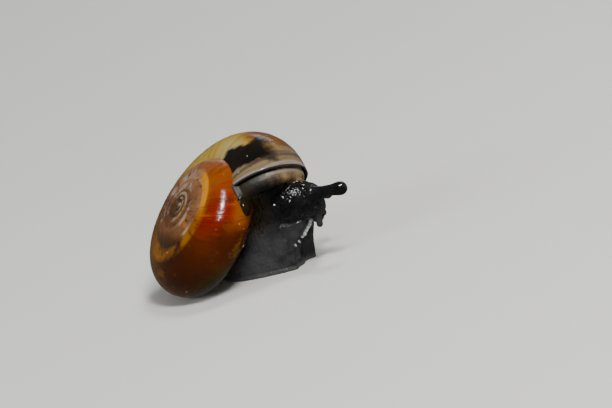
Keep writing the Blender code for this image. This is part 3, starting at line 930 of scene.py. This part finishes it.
def raise_tubercles(skin, settings):
    """Lift rounded tubercles on the head and neck, and cut the groove along the foot."""
    mesh = skin.data
    normals = [vertex.normal.copy() for vertex in mesh.vertices]
    for vertex, normal in zip(mesh.vertices, normals):
        point = vertex.co.copy()
        on_body = smooth_step((point.z - BODY_GRAIN_FROM) / BODY_GRAIN_OVER)
        on_feeler = smooth_step((point.x - FEELERS_FROM) / FEELERS_OVER)
        by_lips = smooth_step(1.0 - (point - LIP_CENTRE).length / LIPS_REACH)
        amount = FOOT_GRAIN + (1.0 - FOOT_GRAIN) * on_body
        amount *= (1.0 - FEELER_GRAIN_LOSS * on_feeler) * (1.0 - by_lips)
        amount *= smooth_step(point.z / FLOOR_REACH)
        cell = noise.voronoi(point / settings.tubercle_spacing)[0][0]
        lift = 1.0 - min(cell / TUBERCLE_EDGE, 1.0) ** 2
        groove = exp(-((point.z - GROOVE_HEIGHT) / GROOVE_WIDTH) ** 2) * (1.0 - abs(normal.z))
        rise = (lift - 0.5) * settings.tubercle_height * amount - GROOVE_DEPTH * groove
        vertex.co = point + normal * rise


def carve(made, hollow):
    """Cut a hollow's shape out of a piece."""
    apply_modifier(made, "BOOLEAN", operation="DIFFERENCE", solver="MANIFOLD", object=hollow)
    bpy.data.objects.remove(hollow)


def fuse(made, voxel, smoothing):
    """Run a piece together into one closed skin and smooth it."""
    apply_modifier(made, "REMESH", mode="VOXEL", voxel_size=voxel)
    apply_modifier(made, "SMOOTH", factor=0.5, iterations=smoothing)


def build_skin(settings):
    pieces = [
        foot_piece(),
        foot_front_piece(),
        neck_piece(),
        head_piece(),
        collar_piece(),
        mantle_lobe_piece(),
        feeler_piece("stalk_right", EYE_STALK_RIGHT, STALK_RADII),
        feeler_piece("stalk_left", EYE_STALK_LEFT, STALK_RADII),
        feeler_piece("tentacle_right", LOWER_TENTACLE_RIGHT, TENTACLE_RADII),
        feeler_piece("tentacle_left", LOWER_TENTACLE_LEFT, TENTACLE_RADII),
        ball("lips", LIP_CENTRE, LIP_RADII),
        *margin_beads(),
    ]
    for side in (-1, 1):
        centre = LOBE_CENTRE + Vector((0.0, side * LOBE_SPREAD, 0.0))
        pieces.append(ball("lobe", centre, LOBE_RADII))
    skin = join_pieces("skin", pieces)
    fuse(skin, settings.voxel, FIRST_SMOOTHING)
    carve(skin, ball("arch", ARCH_CENTRE, ARCH_RADII, segments=64))
    mouth_place = LIP_CENTRE + Vector((LIP_RADII.x, 0.0, 0.0))
    carve(skin, ball("mouth_line", mouth_place, MOUTH_LINE_RADII))
    pore_place = shell_placement() @ shell_point(PORE_TURN, 1.0, PORE_INSET, PORE_AROUND)
    carve(skin, ball("breathing_pore", pore_place, PORE_RADII))
    fuse(skin, settings.voxel, LAST_SMOOTHING)
    raise_tubercles(skin, settings)
    level_below_floor(skin)
    return skin


def distance_to_line(point, ends):
    """How far a point is from the straight line between two ends."""
    first, last = ends
    along = last - first
    share = min(max((point - first).dot(along) / along.length_squared, 0.0), 1.0)
    return (point - first - along * share).length


def mouth_plane():
    """Middle of the shell's mouth, and the way out of it, which points down."""
    placement = shell_placement()
    ring = [placement @ point for point in shell_ring(0.0, 1.0, COLLAR_INSET, COLLAR_SIDES)]
    middle = sum(ring, Vector()) / len(ring)
    facing = Vector()
    for point, after in zip(ring, ring[1:] + ring[:1]):
        facing += (point - middle).cross(after - middle)
    facing.normalize()
    if facing.z > 0.0:
        facing.negate()
    return middle, facing


def mantle_edge_places():
    """Points along the pale edge of the mantle, under the lip of the shell."""
    placement = shell_placement()
    first, last = MANTLE_EDGE_AROUND
    inset = COLLAR_INSET + MANTLE_EDGE_INSET
    places = KDTree(MANTLE_EDGE_POINTS)
    for number in range(MANTLE_EDGE_POINTS):
        around = first + (last - first) * (number / (MANTLE_EDGE_POINTS - 1))
        places.insert(placement @ shell_point(MANTLE_EDGE_TURN, 1.0, inset, around), number)
    places.balance()
    return places


def fading(distance, reach, fade):
    """1 within reach, falling smoothly to 0 over the length of the fade."""
    return 1.0 - smooth_step((distance - reach) / fade)


def mark_skin(skin):
    """Mark how far each point of the skin is mantle, the mantle's pale edge or wet bead."""
    middle, facing = mouth_plane()
    edge_places = mantle_edge_places()
    beads = bead_places()
    mantle = skin.data.attributes.new("mantle", "FLOAT", "POINT")
    wet = skin.data.attributes.new("wet", "FLOAT", "POINT")
    mantle_edge = skin.data.attributes.new("mantle_edge", "FLOAT", "POINT")
    for index, vertex in enumerate(skin.data.vertices):
        past_mouth = (vertex.co - middle).dot(facing)
        to_stalk = distance_to_line(vertex.co, EYE_STALK_LEFT)
        off_stalk = smooth_step((to_stalk - STALK_REACH) / STALK_FADE)
        to_bead = min((vertex.co - bead).length for bead in beads)
        to_edge = edge_places.find(vertex.co)[2]
        mantle.data[index].value = off_stalk * fading(past_mouth, MANTLE_REACH, MANTLE_FADE)
        wet.data[index].value = fading(to_bead, WET_REACH, WET_FADE)
        mantle_edge.data[index].value = fading(to_edge, MANTLE_EDGE_REACH, MANTLE_EDGE_FADE)


def skin_material():
    """Wet black skin, grey on the foot, with the mantle in the shell's mouth painted light ochre
    where lit and near black where shaded.
    """
    shader = Shader("wet_skin", 0.30, IOR=1.45, Specular_IOR_Level=0.50)
    place = shader.place()
    x, y, z = shader.axes(place)
    grain = shader.noise(place, 12000.0, 3.0, 0.6)
    mottle = shader.noise(place, 2600.0, 4.0, 0.6)
    pebbles = shader.cells(shader.vector(x, y, z * 0.75), 8200.0, "DISTANCE_TO_EDGE")
    speckle = shader.cells(place, 15000.0)
    mantle = shader.marked("mantle")
    wet = shader.marked("wet")
    edge = shader.marked("mantle_edge")

    black = (0.003, 0.003, 0.003)
    blue_black = (0.010, 0.010, 0.011)
    shell_glow_brown = (0.018, 0.012, 0.003)
    foot_dark = (0.014, 0.014, 0.015)
    foot_grey = (0.048, 0.047, 0.051)
    sheen_grey = (0.075, 0.073, 0.076)
    speckle_blue = (0.13, 0.14, 0.17)
    margin_grey = (0.10, 0.105, 0.10)
    tan_dark = (0.13, 0.075, 0.028)
    tan_light = (0.27, 0.17, 0.075)
    brown_dark = (0.007, 0.006, 0.002)
    brown_light = (0.024, 0.018, 0.006)
    pale_edge = (0.27, 0.24, 0.22)
    bead_highlight = (0.42, 0.43, 0.43)

    # Reddish tint on the body's shaded rear, under the shell: painted light that shines through the
    # shell
    back = x.rise(0.0017, 0.0009) * z.rise(0.0008, 0.0015)
    low = (z + (mottle - 0.5) * 0.0008).rise(0.0021, 0.0012)
    forward = (x + (mottle - 0.5) * 0.0008).rise(0.0017, 0.0025)
    side = shader.colour(mottle.rise(0.3, 0.7), foot_dark, foot_grey)
    # Lighter grey toward the foot's rear: a painted sheen
    side = shader.colour(x.rise(0.0016, 0.0005) * 0.5, side, sheen_grey)
    # The mantle is painted lighter and warmer toward the front, where it is lit, and near black
    # toward the rear, where it is shaded
    lit_mantle = shader.colour(mottle.rise(0.35, 0.65), tan_dark, tan_light)
    shaded_mantle = shader.colour(mottle.rise(0.35, 0.65), brown_dark, brown_light)
    colour = shader.layered(
        black,
        (mottle.rise(0.35, 0.7), blue_black),
        # Painted reddish light through the shell on the body's shaded rear
        (back * 0.8, shell_glow_brown),
        (low * 0.95, side),
        (speckle.rise(0.28, 0.05) * 0.22 * low, speckle_blue),
        (z.rise(0.00022, 0.00004) * 0.5, margin_grey),
        # Mantle: painted lit front and painted shaded rear
        (mantle, shader.colour(forward, shaded_mantle, lit_mantle)),
        (edge * (0.25 + mottle) * 0.9, pale_edge),
        # Pale wet beads: their paleness is a painted highlight
        (wet * 0.9, bead_highlight),
    )
    bare = (1.0 - mantle) * (1.0 - x.rise(0.0028, 0.0033)) * (1.0 - 0.65 * low)
    normal = shader.bump(pebbles.rise(0.0, 0.50) * bare, 1.0, 0.00004)
    normal = shader.bump(grain, 0.20, 0.00002, normal)
    roughness = 0.14 + (0.30 * low + 0.08 * mottle) * (1.0 - wet) + 0.40 * mantle
    return shader.finish(Base_Color=colour, Normal=normal, Roughness=roughness)


def eye_material():
    shader = Shader("eye_black", 0.08, Coat_Weight=1.0, Coat_Roughness=0.03)
    depth = shader.noise(shader.place(), 5000.0, 2.0)
    colour = shader.colour(depth, (0.004, 0.004, 0.005), (0.014, 0.014, 0.018))
    return shader.finish(Base_Color=colour)


def camera_axes():
    """The picture's right and up and the way back to the camera, in the row's axes."""
    level_right = Vector((cos(CAMERA_AZIMUTH), sin(CAMERA_AZIMUTH), 0.0))
    back = Vector((
        sin(CAMERA_AZIMUTH) * cos(CAMERA_ELEVATION),
        -cos(CAMERA_AZIMUTH) * cos(CAMERA_ELEVATION),
        sin(CAMERA_ELEVATION),
    ))
    level_up = back.cross(level_right)
    right = level_right * cos(CAMERA_ROLL) - level_up * sin(CAMERA_ROLL)
    up = level_right * sin(CAMERA_ROLL) + level_up * cos(CAMERA_ROLL)
    return right, up, back


def add_camera(settings):
    """The camera at the photograph's angle, with the photograph's framing."""
    right, up, back = camera_axes()
    camera = bpy.data.cameras.new("camera")
    holder = add_object("camera", camera)
    middle = TO_ROW @ PICTURE_MIDDLE
    turn = Matrix((right, up, back)).transposed().to_4x4()
    holder.matrix_world = Matrix.Translation(middle + back * settings.camera_distance) @ turn
    camera.sensor_width = SENSOR_WIDTH
    camera.lens = SENSOR_WIDTH * settings.camera_distance / (PICTURE_WIDTH * METRES_PER_MM)
    camera.clip_start = NEAREST_SEEN
    return holder


def add_floor(settings):
    """A level floor whose rim curves up into a wall, in plain pale paper."""
    radius = settings.floor_radius
    model = bmesh.new()
    rows = []
    for reach, height in FLOOR_PROFILE:
        rows.append([
            model.verts.new((
                radius * reach * cos(around), radius * reach * sin(around), radius * height,
            ))
            for around in angles_round(FLOOR_SIDES)
        ])
    model.faces.new(rows[0])
    for near_row, far_row in zip(rows, rows[1:]):
        for side in range(FLOOR_SIDES):
            after = (side + 1) % FLOOR_SIDES
            model.faces.new((near_row[side], far_row[side], far_row[after], near_row[after]))
    mesh = bpy.data.meshes.new("floor")
    model.to_mesh(mesh)
    model.free()
    mesh.shade_smooth()
    shader = Shader("floor_paper", 0.85)
    speck = shader.noise(shader.place(), 60.0, 3.0)
    tone = tuple(settings.floor_colour)
    darker = tuple(FLOOR_SHADE * part for part in tone)
    mesh.materials.append(shader.finish(Base_Color=shader.colour(speck, darker, tone)))
    floor = add_object("floor", mesh)
    floor.visible_glossy = False
    return floor


def add_lamp(name, way, distance, size, watts, colour, glint):
    """A lamp that shines at the snail from a direction; a glint shows in gloss alone."""
    light = bpy.data.lights.new(name, "AREA")
    light.shape = "RECTANGLE"
    light.size, light.size_y = size
    light.energy = watts
    light.color = colour
    lamp = add_object(name, light)
    lamp.location = Vector(way).normalized() * distance + LAMPS_AIM
    lamp.rotation_mode = "QUATERNION"
    lamp.rotation_quaternion = Vector(way).to_track_quat("Z", "Y")
    lamp.visible_diffuse = not glint
    lamp.visible_glossy = glint


class SNAIL_OT_stage(bpy.types.Operator):
    """Add the floor, the lights and the camera at the photograph's angle"""

    bl_idname = "snail.stage"
    bl_label = "Stage"

    def execute(self, context):
        settings = context.scene.snail_stage
        context.scene.camera = add_camera(settings)
        add_floor(settings)
        for lamp in LAMPS:
            add_lamp(*lamp)
        world = bpy.data.worlds.new("studio")
        world.use_nodes = True
        background = world.node_tree.nodes["Background"]
        background.inputs["Color"].default_value = WORLD_COLOUR
        background.inputs["Strength"].default_value = WORLD_STRENGTH
        context.scene.world = world
        return {"FINISHED"}


class SNAIL_OT_shell(bpy.types.Operator):
    """Build the fine spiral shell in place of its solid"""

    bl_idname = "snail.shell"
    bl_label = "Shell"

    def execute(self, context):
        shell = build_shell(context.scene.snail_shell)
        place_on_frame(shell)
        shell.data.materials.append(shell_material())
        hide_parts("shell")
        return {"FINISHED"}


class SNAIL_OT_skin(bpy.types.Operator):
    """Build one skin over all the flesh, from the mantle to the tail"""

    bl_idname = "snail.skin"
    bl_label = "Skin"

    def execute(self, context):
        skin = build_skin(context.scene.snail_skin)
        mark_skin(skin)
        place_on_frame(skin)
        skin.data.materials.append(skin_material())
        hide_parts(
            "mantle_collar", "neck", "head", "lips", "foot_front", "foot_middle", "tail",
            "eye_stalk_right", "eye_stalk_left", "lower_tentacle_right", "lower_tentacle_left",
        )
        return {"FINISHED"}


class SNAIL_OT_eyes(bpy.types.Operator):
    """Set a black eye in the tip of each eye stalk"""

    bl_idname = "snail.eyes"
    bl_label = "Eyes"

    def execute(self, context):
        for side, (root, tip) in (("right", EYE_STALK_RIGHT), ("left", EYE_STALK_LEFT)):
            along = (tip - root).normalized()
            centre = tip - along * EYE_BEHIND_TIP + Vector((0.0, 0.0, EYE_RAISED))
            radii = (EYE_RADIUS, EYE_RADIUS, EYE_RADIUS)
            eye = ball("eye_" + side + "_fine", centre, radii, segments=48)
            place_on_frame(eye)
            eye.data.materials.append(eye_material())
            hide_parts("eye_" + side)
        return {"FINISHED"}


class SNAIL_PT_panel(bpy.types.Panel):
    bl_idname = "SNAIL_PT_panel"
    bl_label = "Garlic snail"
    bl_space_type = "VIEW_3D"
    bl_region_type = "UI"
    bl_category = "Snail"

    def draw(self, context):
        for operator in PIECES:
            self.layout.operator(operator.bl_idname)


PIECES = (SNAIL_OT_stage, SNAIL_OT_shell, SNAIL_OT_skin, SNAIL_OT_eyes)
SETTINGS = {
    "snail_stage": SnailStageSettings,
    "snail_shell": SnailShellSettings,
    "snail_skin": SnailSkinSettings,
}


def register():
    for name, group in SETTINGS.items():
        bpy.utils.register_class(group)
        setattr(bpy.types.Scene, name, PointerProperty(type=group))
    for operator in PIECES:
        bpy.utils.register_class(operator)
    bpy.utils.register_class(SNAIL_PT_panel)


def unregister():
    bpy.utils.unregister_class(SNAIL_PT_panel)
    for operator in reversed(PIECES):
        bpy.utils.unregister_class(operator)
    for name, group in SETTINGS.items():
        delattr(bpy.types.Scene, name)
        bpy.utils.unregister_class(group)


def main():
    register()
    bpy.ops.snail.stage()
    bpy.ops.snail.shell()
    bpy.ops.snail.skin()
    bpy.ops.snail.eyes()


if __name__ == "__main__":
    main()
